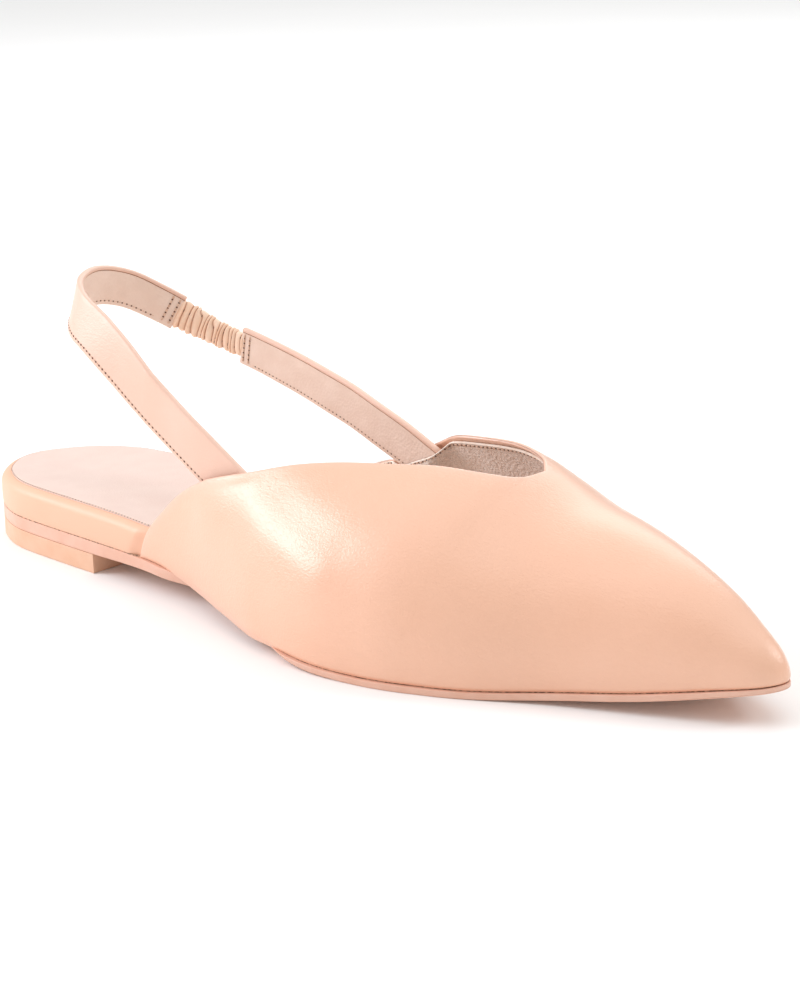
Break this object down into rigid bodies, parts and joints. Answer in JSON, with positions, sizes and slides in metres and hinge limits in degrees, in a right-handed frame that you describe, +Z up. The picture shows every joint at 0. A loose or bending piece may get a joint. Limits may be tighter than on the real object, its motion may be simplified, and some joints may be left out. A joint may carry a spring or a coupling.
{
  "type": "flat shoe",
  "caption": "Right women's flat with a pointed toe, V throat, open sides, low heel block and a heel strap with an elastic piece.",
  "frame": {"origin": "on the floor under the middle of the bounding box", "axes": "+Z up, the toe points to -Y and the heel to +Y, the outer (lateral) side is -X"},
  "size_m": [0.0784, 0.262, 0.0778],
  "materials": {
    "heel": "matt tan lift",
    "sole": "smooth painted edge",
    "footbed": "semi-gloss wrap",
    "upper": "smooth semi-gloss nappa",
    "strap": "smooth semi-gloss nappa",
    "elastic": "gathered"
  },
  "bodies": {
    "root": {"heel_block": "heel", "outsole": "sole", "footbed": "footbed", "upper": "upper", "strap_lateral": "strap", "elastic": "elastic", "strap_medial": "strap"}
  },
  "joints": []
}
